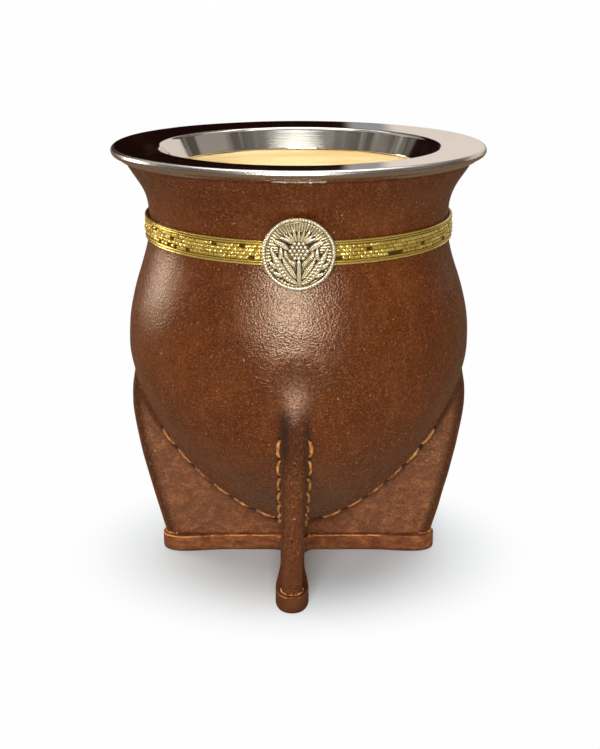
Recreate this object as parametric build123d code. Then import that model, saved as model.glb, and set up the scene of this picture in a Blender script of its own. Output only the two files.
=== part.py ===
from build123d import *
from math import cos, pi, radians, sin, sqrt
import os

# A drinking gourd in a stitched leather cover that stands on four pinched fins.
# Millimetres. The table is Z = 0, the cup's axis is Z and its front faces -Y.

# Rim: a steel collar with a flat flange, a rolled lip, a skirt and an inner sleeve.
height = 120.4              # table to the top of the lip
rim_radius = 50.0           # out to the lip
lip_radius = 1.1            # radius of the lip's bead
steel = 0.6                 # sheet thickness
flange_dish = 0.5           # fall of the flange from the lip to the sleeve
mouth_radius = 37.0         # where flange and sleeve meet
mouth_round = 1.5           # rounding between flange and sleeve
sleeve_depth = 6.7          # lip top to the sleeve's lower end
sleeve_end_radius = 34.5    # inside of the sleeve's lower end
skirt_depth = 3.1           # lip top to the skirt's lower end

# Leather skin: its outside radius at three levels, and how full it is between them.
skin_drop = 1.6             # lip top to the skin's upper edge
neck_radius, neck_level = 40.6, 99.5
belly_radius, belly_level = 47.3, 66.0
base_level = 10.5           # underside of the belly
flare_fullness = 1.7        # neck to mouth
shoulder_fullness = 1.25    # belly to neck
bowl_fullness = 1.6         # below the belly; 2 would be an oval
leather = 2.0               # thickness of the skin
skirt_clearance = 0.35      # skin to the skirt's inside

# Gourd: the dried shell inside the leather.
gourd_wall = 6.4
seat_clearance = 0.1        # between pieces that sit against each other

# Fins: four pinches of the cover, each a plate with a round outer crest.
fin_angles = {"right": 0, "back": 90, "left": 180, "front": 270}
fin_thickness = 6.2
crest_out, crest_level = 0.5, 46.0      # crest beyond the belly where it is fullest
shin_radius, shin_level = 44.3, 24.6
foot_reach = 39.5           # crest at the sole
shoulder_level = 55.5       # where the crest comes out of the skin
shoulder_tuck = 4.5         # depth of the crest's hidden end behind the belly
shoulder_rise = 6.0         # height of the hidden end over the shoulder
crest_fullness = 0.48       # rounding of the crest, as a share of the thickness; 0.5 is a half circle
front_shift = -1.75         # the front foot stands beside the middle plane
front_lean = -0.95          # degrees; the front fin leans back towards the middle plane
front_rise = 7.0            # and comes out of the skin this much higher than the others

# Sole: a flat cross of thick leather under the fins.
sole_thickness = 5.2
sole_ledge = 1.0            # sole beyond the crest's foot
toe_length = 6.4            # half oval at each arm's end
toe_width = 9.0
arm_width = 6.9             # at the narrowest stretch
arm_narrow_radius = 21.0    # where the narrow stretch ends
crotch_radius = 4.0         # hollow corners between the arms
sole_round = 0.9            # lower edge
sole_top_round = 0.3

# Band: a gilt strip round the neck with a bead along each edge.
band_low, band_high = 96.2, 102.3
band_sheet = 0.5
band_bead = 0.35            # radius of each bead

# Medallion: a round relief on the front of the band.
medallion_radius = 9.0
medallion_level = 99.5
medallion_plate = 1.0
rope_radius = 0.55          # rope round its edge
boss_width, boss_rise = 3.0, 0.6
petal_count = 8
petal_length, petal_width, petal_rise = 4.4, 1.9, 0.5
petal_ring = 4.6            # radius of the circle that the petals stand on

# Seams: a row of stitches on each face of each fin, along the belly's outline.
thread_radius = 0.45
stitch_length = 5.8
stitch_pitch = 7.4
stitch_count = 6            # in each seam
front_stitch_count = 8      # in each seam of the front fin, which is taller
stitch_end = 0.4            # rounding of a stitch's ends
seam_off = 2.2              # seam beyond the belly
seam_start = 8.0            # along the seam's outline, from the middle of its base

flange_low = height - flange_dish - steel
sleeve_end = height - sleeve_depth
skin_top = height - skin_drop
skin_mouth_radius = rim_radius - 2 * lip_radius - steel - skirt_clearance
sole_reach = foot_reach + sole_ledge
outline_steps = 16          # points on each half of the skin's outline
vast = 4 * (height + rim_radius)


def ease(share, fullness):
    """Return a smooth rise from 0 to 1; more fullness holds its start back."""
    return (1 - cos(pi * share ** fullness)) / 2


def skin_radius(level, inset=0):
    """Return the skin's outside radius at a level, less an inset."""
    if level > neck_level:
        share = (level - neck_level) / (skin_top - neck_level)
        return neck_radius + (skin_mouth_radius - neck_radius) * ease(share, flare_fullness) - inset
    if level > belly_level:
        share = (level - belly_level) / (neck_level - belly_level)
        return belly_radius + (neck_radius - belly_radius) * ease(share, shoulder_fullness) - inset
    share = (belly_level - level) / (belly_level - base_level - inset)
    return (belly_radius - inset) * (1 - share ** bowl_fullness) ** (1 / bowl_fullness)


def skin_outline(inset):
    """Return the skin's outline from its base up to the mouth, moved inwards."""
    drop = belly_level - base_level - inset
    turns = [pi / 2 * (1 - step / outline_steps) for step in range(outline_steps)]
    levels = [belly_level - drop * sin(turn) ** (2 / bowl_fullness) for turn in turns]
    rise = (skin_top - belly_level) / outline_steps
    levels += [belly_level + rise * step for step in range(outline_steps + 1)]
    return Spline([(skin_radius(level, inset), level) for level in levels])


def below_level(level):
    """Return a vast box under a level."""
    return Pos(0, 0, level) * Box(vast, vast, vast, align=(Align.CENTER, Align.CENTER, Align.MAX))


def turned(section):
    """Revolve a flat section, drawn as radius and height, about the cup's axis."""
    return revolve(Plane.XZ * section, Axis.Z)


def inside_skin(inset, top):
    """Return the section inside the skin's outline moved inwards, up to a level."""
    side = skin_outline(inset)
    base, edge = side @ 0, side @ 1
    closing = Polyline(edge, (edge.X, vast), (0, vast), base)
    above_top = Pos(0, top) * Rectangle(vast, vast, align=(Align.MIN, Align.MIN))
    return make_face(side + closing) - above_top


def sideways(name):
    """Return how far a fin's foot is shifted and how many degrees the fin leans."""
    return (front_shift, front_lean) if name == "front" else (0, 0)


def fin(rise):
    """Return the fin on +X: a plate from the axis out to its rounded crest."""
    shoulder = shoulder_level + rise
    crest = Spline(
        (foot_reach, sole_thickness),
        (shin_radius, shin_level),
        (belly_radius + crest_out, crest_level),
        (belly_radius - crest_out, shoulder),
        (belly_radius - shoulder_tuck, shoulder + shoulder_rise),
    )
    foot, top = crest @ 0, crest @ 1
    under = sole_thickness - fin_thickness
    closing = Polyline(top, (0, top.Y), (0, under), (foot.X, under), foot)
    plate = extrude(Plane.XZ * make_face(crest + closing), fin_thickness / 2, both=True)
    edges = plate.edges().filter_by(lambda edge: edge.geom_type == GeomType.BSPLINE)
    return fillet(edges, crest_fullness * fin_thickness)


def leather_cover():
    """Return the skin with its four fins, open at the mouth and flat on the sole."""
    fins = Part()
    for name, angle in fin_angles.items():
        shift, lean = sideways(name)
        upright = Pos(0, 0, -sole_thickness) * fin(front_rise if name == "front" else 0)
        fins += Rot(0, 0, angle) * Pos(0, shift, sole_thickness) * Rot(lean, 0, 0) * upright
    fins -= turned(inside_skin(leather / 2, height))
    skin = turned(inside_skin(0, skin_top) - inside_skin(leather, height))
    return skin + fins - below_level(sole_thickness)


def gourd_shell():
    """Return the gourd: a thick bowl with a seat for the sleeve in its mouth."""
    seat_low = sleeve_end - seat_clearance
    reach = steel + seat_clearance
    seat = make_face(Polyline(
        (0, seat_low),
        (sleeve_end_radius + reach, seat_low),
        (mouth_radius + reach, flange_low),
        (mouth_radius + reach, height),
        (0, height),
        close=True,
    ))
    whole = inside_skin(leather + seat_clearance, flange_low - seat_clearance)
    beyond_sleeve = Rectangle(vast, vast, align=(Align.MIN, Align.MIN))
    beyond_sleeve = Pos(sleeve_end_radius, neck_level) * beyond_sleeve
    hollow = inside_skin(leather + gourd_wall, height) - beyond_sleeve
    return turned(whole - hollow - seat)


def rim():
    """Return the steel collar as one turned sheet with a rolled lip."""
    lip_middle = rim_radius - lip_radius
    mouth_corner = (mouth_radius, height - flange_dish)
    sheet = make_face(Polyline(
        (sleeve_end_radius, sleeve_end),
        (sleeve_end_radius + steel, sleeve_end),
        (mouth_radius + steel, flange_low),
        (lip_middle, height - steel),
        (lip_middle, height),
        mouth_corner,
        close=True,
    ))
    sheet = fillet(sheet.vertices().sort_by_distance(mouth_corner)[0], mouth_round)
    skirt_inside = skin_mouth_radius + skirt_clearance
    skirt = make_face(Polyline(
        (skirt_inside, height - skirt_depth),
        (skirt_inside + steel, height - skirt_depth),
        (lip_middle + lip_radius / 2, height - 2 * lip_radius + steel / 2),
        (lip_middle, height - lip_radius),
        (skirt_inside, height - 2 * lip_radius),
        close=True,
    ))
    lip = Pos(lip_middle, height - lip_radius) * Circle(lip_radius)
    return turned(sheet + skirt + lip)


def band_inside():
    """Return the band's inside radius, clear of the skin along both of its edges."""
    return max(skin_radius(band_low), skin_radius(band_high)) + seat_clearance


def gilt_band():
    """Return the band: a short tube with a bead round each edge."""
    inside = band_inside()
    outside = inside + band_sheet
    corners = (inside, band_low), (outside, band_low), (outside, band_high), (inside, band_high)
    band = turned(make_face(Polyline(*corners, close=True)))
    for level in (band_low + band_bead, band_high - band_bead):
        band += Pos(0, 0, level) * Torus(outside, band_bead)
    return band


def medallion():
    """Return the medallion, facing the front with its back close to the neck."""
    ring_radius = medallion_radius - rope_radius
    relief = Torus(ring_radius, rope_radius)
    relief += scale(Sphere(1), by=(boss_width / 2, boss_width / 2, boss_rise))
    petal = scale(Sphere(1), by=(petal_length / 2, petal_width / 2, petal_rise))
    for number in range(petal_count):
        relief += Rot(0, 0, 360 / petal_count * number) * Pos(petal_ring, 0, 0) * petal
    relief = Pos(0, 0, medallion_plate) * relief
    body = relief + extrude(Circle(ring_radius), medallion_plate)
    rests_on = max(
        skin_radius(medallion_level - medallion_radius),
        skin_radius(medallion_level + medallion_radius),
        band_inside() + band_sheet + band_bead,
    )
    back = (0, -rests_on - seat_clearance, medallion_level)
    return Plane(origin=back, x_dir=(1, 0, 0), z_dir=(0, -1, 0)) * (body - below_level(0))


def arm():
    """Return the sole's arm on +X as a flat face."""
    toe_middle = sole_reach - toe_length
    straight = Line((0, arm_width / 2), (arm_narrow_radius, arm_width / 2))
    ends = (arm_narrow_radius, arm_width / 2), (toe_middle, toe_width / 2)
    flare = Spline(*ends, tangents=[(1, 0), (1, 0)])
    toe = EllipticalCenterArc((toe_middle, 0), toe_length, toe_width / 2)
    half = make_face(straight + flare + toe + Polyline((sole_reach, 0), (0, 0), (0, arm_width / 2)))
    return half + mirror(half, Plane.XZ)


def sole():
    """Return the cross-shaped sole with hollow corners and rounded edges."""
    cross = Sketch()
    for name, angle in fin_angles.items():
        cross += Rot(0, 0, angle) * Pos(0, sideways(name)[0]) * arm()
    corners = cross.vertices().filter_by(lambda corner: Vector(corner).length < arm_width)
    slab = extrude(fillet(corners, crotch_radius), sole_thickness)
    slab = fillet(slab.faces().sort_by(Axis.Z)[0].outer_wire().edges(), sole_round)
    return fillet(slab.faces().sort_by(Axis.Z)[-1].outer_wire().edges(), sole_top_round)


def seam_place(outline, run, side, name):
    """Return the place beside the fin on +X that is a run up a seam's outline."""
    shift, lean = sideways(name)
    surface = outline.position_at(run, position_mode=PositionMode.LENGTH)
    middle = shift - (surface.Y - sole_thickness) * sin(radians(lean))
    beside = (fin_thickness / 2 + thread_radius + seat_clearance) / cos(radians(lean))
    across = middle + side * beside
    return Vector(sqrt(surface.X ** 2 - across ** 2), across, surface.Y)


def seam_thread(name):
    """Return the stitches on both sides of a fin, each a rod with rounded ends."""
    rod = Cylinder(thread_radius, stitch_length)
    rod = fillet(rod.edges(), stitch_end)
    outline = skin_outline(-seam_off)
    count = front_stitch_count if name == "front" else stitch_count
    stitches = []
    for side in (-1, 1):
        for number in range(count):
            run = seam_start + number * stitch_pitch
            low = seam_place(outline, run, side, name)
            high = seam_place(outline, run + stitch_length, side, name)
            lying = Plane(origin=(low + high) / 2, z_dir=high - low) * rod
            stitches.append(Rot(0, 0, fin_angles[name]) * lying)
    return Compound(children=stitches)


os.makedirs("parts", exist_ok=True)
nodes = {
    "gourd_shell": gourd_shell(),
    "leather_cover": leather_cover(),
    "sole": sole(),
    "rim": rim(),
    "gilt_band": gilt_band(),
    "medallion": medallion(),
}
for name in fin_angles:
    nodes["seam_thread_" + name] = seam_thread(name)
for node, shape in nodes.items():
    export_step(shape, "parts/" + node + ".step")
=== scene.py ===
import random
from math import cos, hypot, pi, radians, sin, tan

import bmesh
import bpy
import numpy as np
from mathutils import Matrix, Vector, noise


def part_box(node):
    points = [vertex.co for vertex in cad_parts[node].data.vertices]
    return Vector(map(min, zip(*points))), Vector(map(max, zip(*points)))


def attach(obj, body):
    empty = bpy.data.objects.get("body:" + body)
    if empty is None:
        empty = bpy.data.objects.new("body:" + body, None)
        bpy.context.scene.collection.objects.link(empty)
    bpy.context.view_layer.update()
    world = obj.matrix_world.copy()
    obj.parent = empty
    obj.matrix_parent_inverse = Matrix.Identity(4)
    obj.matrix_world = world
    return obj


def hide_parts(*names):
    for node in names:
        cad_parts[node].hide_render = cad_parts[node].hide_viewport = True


# A drinking gourd in a stitched leather cover, with a steel rim, a gilt band and a round relief.
# Metres, in the frame's own axes: the table is Z = 0 and the cup's front faces -Y.

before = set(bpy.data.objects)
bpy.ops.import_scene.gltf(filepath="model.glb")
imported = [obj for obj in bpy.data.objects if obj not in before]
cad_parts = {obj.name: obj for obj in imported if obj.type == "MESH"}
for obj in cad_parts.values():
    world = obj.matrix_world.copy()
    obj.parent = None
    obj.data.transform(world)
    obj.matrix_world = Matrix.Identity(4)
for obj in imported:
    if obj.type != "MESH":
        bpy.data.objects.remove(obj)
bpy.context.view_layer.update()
mm = 0.001
full_turn = 2 * pi

# Rim, from the frame outwards.
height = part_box("rim")[1].z
rim_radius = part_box("rim")[1].x
lip_radius = 1.1 * mm
steel = 0.6 * mm
flange_dish = 0.5 * mm
mouth_radius = 37.0 * mm
mouth_round = 1.5 * mm
sleeve_end = height - 6.7 * mm
sleeve_end_radius = 34.5 * mm
skirt_end = height - 3.1 * mm

# Leather skin: radius and level where its outline turns, and its fullness between them.
skin_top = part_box("leather_cover")[1].z
neck_radius, neck_level = 40.6 * mm, 99.5 * mm
belly_radius, belly_level = 47.3 * mm, 66.0 * mm
base_level = 10.5 * mm
mouth_edge = 46.85 * mm
flare_fullness, shoulder_fullness, bowl_fullness = 1.7, 1.25, 1.6
leather = 2.0 * mm
gourd_wall = 6.4 * mm

# Fins: angle on the cup, sideways shift of the foot, lean and rise of the shoulder.
fins = {
    "right": (0, 0, 0, 0),
    "back": (90, 0, 0, 0),
    "left": (180, 0, 0, 0),
    "front": (270, -1.75 * mm, radians(0.95), 7 * mm),
}
fin_foot_thickness, fin_top_thickness = 5.5 * mm, 6.9 * mm
crest_radius, crest_level = 47.8 * mm, 46.0 * mm
foot_reach, shin_fullness = 39.5 * mm, 1.34
shoulder_fall = 9.5 * mm
front_swell, swell_level, swell_height = 1.0 * mm, 57 * mm, 6 * mm

# Sole: a cross whose arms widen to round toes.
sole_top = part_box("sole")[1].z
sole_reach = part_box("sole")[1].x
arm_half, arm_narrow_radius = 3.45 * mm, 21 * mm
toe_half, toe_length = 4.5 * mm, 6.4 * mm
crotch_radius = 4.0 * mm
sole_round, sole_top_round = 0.9 * mm, 0.35 * mm

# Seams: one row of stitches on each face of each fin.
thread_radius = 0.42 * mm
stitch_length, stitch_pitch = 5.8 * mm, 7.4 * mm
stitch_counts = {"right": 6, "back": 6, "left": 6, "front": 8}
seam_off, seam_start = 1.35 * mm, 8.0 * mm
hole_radius = 0.95 * mm

# Band and medallion.
band_low, band_high = 96.2 * mm, 102.3 * mm
band_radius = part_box("gilt_band")[1].x
medallion_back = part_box("medallion")[1].y
medallion_level = (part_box("medallion")[0].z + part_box("medallion")[1].z) / 2
medallion_radius = (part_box("medallion")[1].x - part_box("medallion")[0].x) / 2


# ---------------------------------------------------------------- shapes

def ease(share, fullness):
    """A smooth rise from 0 to 1; more fullness holds its start back."""
    return (1 - np.cos(pi * np.clip(share, 0, 1) ** fullness)) / 2


def skin_radius(level, inset=0.0):
    """The skin's outside radius at a level, less an inset."""
    level = np.asarray(level, float)
    neck = neck_radius + (mouth_edge - neck_radius) * ease(
        (level - neck_level) / (skin_top - neck_level), flare_fullness) - inset
    shoulder = belly_radius + (neck_radius - belly_radius) * ease(
        (level - belly_level) / (neck_level - belly_level), shoulder_fullness) - inset
    share = np.clip((belly_level - level) / (belly_level - base_level - inset), 0, 1)
    bowl = (belly_radius - inset) * (1 - share ** bowl_fullness) ** (1 / bowl_fullness)
    return np.where(level > neck_level, neck, np.where(level > belly_level, shoulder, bowl))


def skin_outline(inset, top, steps=60):
    """Radius and level pairs up the skin's outline, from the middle of its base to a level."""
    drop = belly_level - base_level - inset
    turns = [pi / 2 * (1 - step / steps) for step in range(steps)]
    levels = [belly_level - drop * sin(turn) ** (2 / bowl_fullness) for turn in turns]
    levels += [belly_level + (top - belly_level) * step / steps for step in range(steps + 1)]
    pairs = [(float(skin_radius(level, inset)), level) for level in levels]
    return [(0.0, pairs[0][1])] + pairs[1:]


def crest(level, rise):
    """How far out a fin's crest stands at a level."""
    below = np.clip((crest_level - level) / (crest_level - sole_top), 0, 1.2)
    fall = shoulder_fall + rise
    sharp = np.log(5) / np.log((fall + 6 * mm) / fall)
    above = np.clip((level - crest_level) / fall, 0, 3)
    swell = front_swell * (rise > 0) * hump(level, swell_level, swell_height)
    return crest_radius + swell - (crest_radius - foot_reach) * below ** shin_fullness - mm * above ** sharp


def smoothstep(value, low, high):
    """0 below low, 1 above high and an even rise between."""
    share = np.clip((value - low) / (high - low), 0, 1)
    return share * share * (3 - 2 * share)


def hump(value, middle, width):
    """1 at the middle, fading to 0 a couple of widths away."""
    return np.exp(-((value - middle) / width) ** 2)


def waves(points, size, seed):
    """Soft noise between -1 and 1 at each point, with lumps of about the given size."""
    away = Vector((seed * 7.1, seed * 3.7, seed * 5.3))
    return np.array([noise.noise(Vector(point) / size + away) for point in points])


def around_axis(points):
    """Each point's distance from the cup's axis, and its angle round it."""
    return np.hypot(points[:, 0], points[:, 1]), np.arctan2(points[:, 1], points[:, 0])


def push_out(points, amount, where=True):
    """Move points straight away from the cup's axis."""
    out, _ = around_axis(points)
    points[:, :2] *= (1 + np.where(where, amount / np.maximum(out, 5 * mm), 0))[:, None]


def bulb_distance(points):
    """About how far each point lies outside the round body."""
    out, _ = around_axis(points)
    level = points[:, 2]
    step = 0.05 * mm
    slope = (skin_radius(level + step) - skin_radius(level - step)) / (2 * step)
    upper = (out - skin_radius(level)) / np.sqrt(1 + slope ** 2)
    across = np.maximum(out, 1e-6) / belly_radius
    down = np.maximum(belly_level - level, 1e-6) / (belly_level - base_level)
    power = bowl_fullness
    size = (across ** power + down ** power) ** (1 / power)
    steep = np.hypot((across / size) ** (power - 1) / belly_radius,
                     (down / size) ** (power - 1) / (belly_level - base_level))
    return np.where(level > belly_level, upper, (size - 1) / steep)


def fin_place(points, name):
    """Each point's distance out along a fin and across it."""
    angle, shift, lean, _ = fins[name]
    turn = radians(angle)
    out = points[:, 0] * cos(turn) + points[:, 1] * sin(turn)
    across = points[:, 1] * cos(turn) - points[:, 0] * sin(turn)
    return out, across - shift - (points[:, 2] - sole_top) * tan(lean)


def fin_distance(points, name):
    """About how far each point lies outside a fin with a round crest."""
    out, across = fin_place(points, name)
    rise = fins[name][3]
    level = points[:, 2]
    share = smoothstep(level, sole_top, crest_level + 10 * mm)
    half = (fin_foot_thickness + (fin_top_thickness - fin_foot_thickness) * share) / 2
    beyond = out - (crest(level, rise) - half)
    plate = np.abs(across) - half
    ahead = -out
    rounded = np.hypot(np.maximum(beyond, 0), across) - half
    return np.maximum(np.where(beyond > 0, rounded, plate), ahead)


def cover_distance(points):
    """How far each point lies outside the cover, with its fins blended into its belly."""
    whole = bulb_distance(points)
    level = points[:, 2]
    for name in fins:
        other = fin_distance(points, name)
        rise = fins[name][3]
        blend = 3.8 * mm - 0.8 * mm * smoothstep(level, 44 * mm + rise, 54 * mm + rise)
        near = np.maximum(blend - np.abs(whole - other), 0) / blend
        whole = np.minimum(whole, other) - near * near * blend / 4
    return whole


def slope_of(distance, points):
    """The direction in which a distance grows at each point."""
    step = 0.02 * mm
    parts = []
    for axis in range(3):
        move = np.zeros(3)
        move[axis] = step
        parts.append(distance(points + move) - distance(points - move))
    slope = np.stack(parts, 1)
    return slope / np.maximum(np.linalg.norm(slope, axis=1, keepdims=True), 1e-12)


def onto_cover(points, lift=0.0, rounds=5):
    """Points moved onto the cover's surface, or to a lift above it."""
    points = np.array(points, float)
    for _ in range(rounds):
        points -= slope_of(cover_distance, points) * (cover_distance(points) - lift)[:, None]
    return points


# ---------------------------------------------------------------- mesh helpers

def get_points(mesh):
    """A mesh's vertices as an array."""
    flat = np.empty(3 * len(mesh.vertices))
    mesh.vertices.foreach_get("co", flat)
    return flat.reshape(-1, 3)


def set_points(mesh, points):
    """Put a mesh's vertices where an array says."""
    mesh.vertices.foreach_set("co", np.asarray(points, float).ravel())
    mesh.update()


def set_mask(mesh, name, values):
    """Store one number for each vertex, which a finish reads."""
    layer = mesh.attributes.new(name, "FLOAT", "POINT")
    layer.data.foreach_set("value", np.asarray(values, np.float32))


def placed(name, data):
    """Put a mesh, lamp or camera in the scene."""
    thing = bpy.data.objects.new(name, data)
    bpy.context.collection.objects.link(thing)
    return thing


def to_mesh(name, bm):
    """Turn a finished bmesh into a smooth-shaded mesh."""
    mesh = bpy.data.meshes.new(name)
    bm.to_mesh(mesh)
    bm.free()
    mesh.shade_smooth()
    return mesh


def show(mesh, finish, slot, *nodes):
    """Make a mesh a piece of the cup that stands for its frame nodes."""
    piece = placed(mesh.name, mesh)
    mesh.materials.append(finish)
    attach(piece, "root")
    if nodes:
        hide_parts(*nodes)
    return piece


def new_corners(grown):
    """The vertices among what an extrusion made."""
    return [item for item in grown if isinstance(item, bmesh.types.BMVert)]


def turned(outline, steps, closed):
    """Spin an outline of radius and level pairs about the cup's axis."""
    bm = bmesh.new()
    corners = [bm.verts.new((radius, 0, level)) for radius, level in outline]
    ends = corners[1:] + corners[:1] if closed else corners[1:]
    edges = [bm.edges.new(pair) for pair in zip(corners, ends)]
    bmesh.ops.spin(bm, geom=corners + edges, cent=(0, 0, 0), axis=(0, 0, 1), angle=full_turn,
                   steps=steps, use_merge=True)
    bmesh.ops.remove_doubles(bm, verts=bm.verts, dist=1e-7)
    bmesh.ops.recalc_face_normals(bm, faces=bm.faces)
    return bm


def arc(centre, radius, start, end, steps):
    """Points on an arc in the radius and level plane; angles in degrees."""
    turns = [radians(start + (end - start) * step / steps) for step in range(steps + 1)]
    return [(centre[0] + radius * cos(turn), centre[1] + radius * sin(turn)) for turn in turns]


def run_between(start, end, steps):
    """Evenly spaced points from start up to, and without, end."""
    return [(start[0] + (end[0] - start[0]) * step / steps, start[1] + (end[1] - start[1]) * step / steps)
            for step in range(steps)]


# ---------------------------------------------------------------- finishes

class Signal:
    """A shader socket that can be used in ordinary arithmetic."""

    def __init__(self, finish, socket):
        self.finish = finish
        self.socket = socket

    def work(self, operation, *values):
        return self.finish.add("ShaderNodeMath", {"operation": operation}, dict(enumerate(values)))

    def __add__(self, other):
        return self.work("ADD", self, other)

    def __sub__(self, other):
        return self.work("SUBTRACT", self, other)

    def __rsub__(self, other):
        return self.work("SUBTRACT", other, self)

    def __mul__(self, other):
        return self.work("MULTIPLY", self, other)

    def __pow__(self, other):
        return self.work("POWER", self, other)

    __radd__ = __add__
    __rmul__ = __mul__

    def between(self, low, high):
        """0 where this is below low, 1 above high and a smooth rise between."""
        settings = {"interpolation_type": "SMOOTHSTEP", "clamp": True}
        sockets = {"Value": self, "From Min": low, "From Max": high}
        return self.finish.add("ShaderNodeMapRange", settings, sockets)

    def clipped(self):
        return self.finish.add("ShaderNodeClamp", {}, {"Value": self})


class Finish:
    """The nodes of one material or world: they come from add, and their arithmetic from Signal."""

    def __init__(self, name, owners=bpy.data.materials):
        self.owner = owners.new(name)
        self.owner.use_nodes = True
        self.tree = self.owner.node_tree
        self.tree.nodes.clear()

    def add(self, kind, settings, sockets, output=0):
        """Add a node: its settings first, then the values or links of its sockets."""
        node = self.tree.nodes.new(kind)
        for key, value in settings.items():
            if key == "stops":
                while len(node.color_ramp.elements) < len(value):
                    node.color_ramp.elements.new(1)
                for stop, (position, colour) in zip(node.color_ramp.elements, value):
                    stop.position = position
                    stop.color = (*colour, 1)
            else:
                setattr(node, key, value)
        for key, value in sockets.items():
            if isinstance(value, Signal):
                self.tree.links.new(value.socket, node.inputs[key])
            elif isinstance(value, tuple) and len(value) == 3 and node.inputs[key].type == "RGBA":
                node.inputs[key].default_value = (*value, 1)
            else:
                node.inputs[key].default_value = value
        return Signal(self, node.outputs[output]) if node.outputs else None

    @property
    def place(self):
        """Where a point lies on the cup."""
        return self.add("ShaderNodeTexCoord", {}, {}, "Object")

    def stretched(self, scale, turn=(0, 0, 0)):
        """Object coordinates scaled by a number for each axis."""
        return self.add("ShaderNodeMapping", {}, {"Vector": self.place, "Rotation": turn, "Scale": scale})

    def noise(self, scale, detail=2.0, roughness=0.5, vector=None, distortion=0.0):
        sockets = {"Vector": vector or self.place, "Scale": scale, "Detail": detail,
                   "Roughness": roughness, "Distortion": distortion}
        return self.add("ShaderNodeTexNoise", {}, sockets)

    def cells(self, scale, feature="F1", vector=None):
        sockets = {"Vector": vector or self.place, "Scale": scale}
        return self.add("ShaderNodeTexVoronoi", {"feature": feature}, sockets)

    def axis(self, name):
        """One coordinate of the place on the cup."""
        return self.add("ShaderNodeSeparateXYZ", {}, {"Vector": self.place}, name)

    def mask(self, name):
        """A number stored on the piece's vertices."""
        return self.add("ShaderNodeAttribute", {"attribute_name": name}, {}, "Fac")

    def mix(self, share, first, second, how="MIX"):
        """Blend two colours by a share."""
        settings = {"data_type": "RGBA", "blend_type": how, "clamp_factor": True}
        return self.add("ShaderNodeMix", settings, {0: share, 6: first, 7: second}, 2)

    def ramp(self, value, *stops):
        """A colour for each value, by stops of position and colour."""
        return self.add("ShaderNodeValToRGB", {"stops": stops}, {"Fac": value})

    def bump(self, height, distance, strength=1.0, under=None):
        sockets = {"Height": height, "Distance": distance, "Strength": strength}
        if under:
            sockets["Normal"] = under
        return self.add("ShaderNodeBump", {}, sockets)

    def glow(self, colour, strength=1.0):
        """End the material in an even glow."""
        return self.end(self.add("ShaderNodeEmission", {}, {"Color": colour, "Strength": strength}))

    def layered(self, colour, *layers):
        """Lay further colours over one, each by its own share."""
        for share, over in layers:
            colour = self.mix(share, colour, over)
        return colour

    def coat(self, colour, rough, bump=None, **others):
        """End the material in one shader; the others are sockets with _ for each space."""
        sockets = {"Base Color": colour, "Roughness": rough}
        if bump:
            sockets["Normal"] = bump
        sockets.update({name.replace("_", " "): value for name, value in others.items()})
        return self.end(self.add("ShaderNodeBsdfPrincipled", {}, sockets))

    def end(self, shader, output="ShaderNodeOutputMaterial"):
        """Send a shader to the output."""
        self.add(output, {}, {"Surface": shader})
        return self.owner


hide_sheen = (1.0, 0.84, 0.64)


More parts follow.
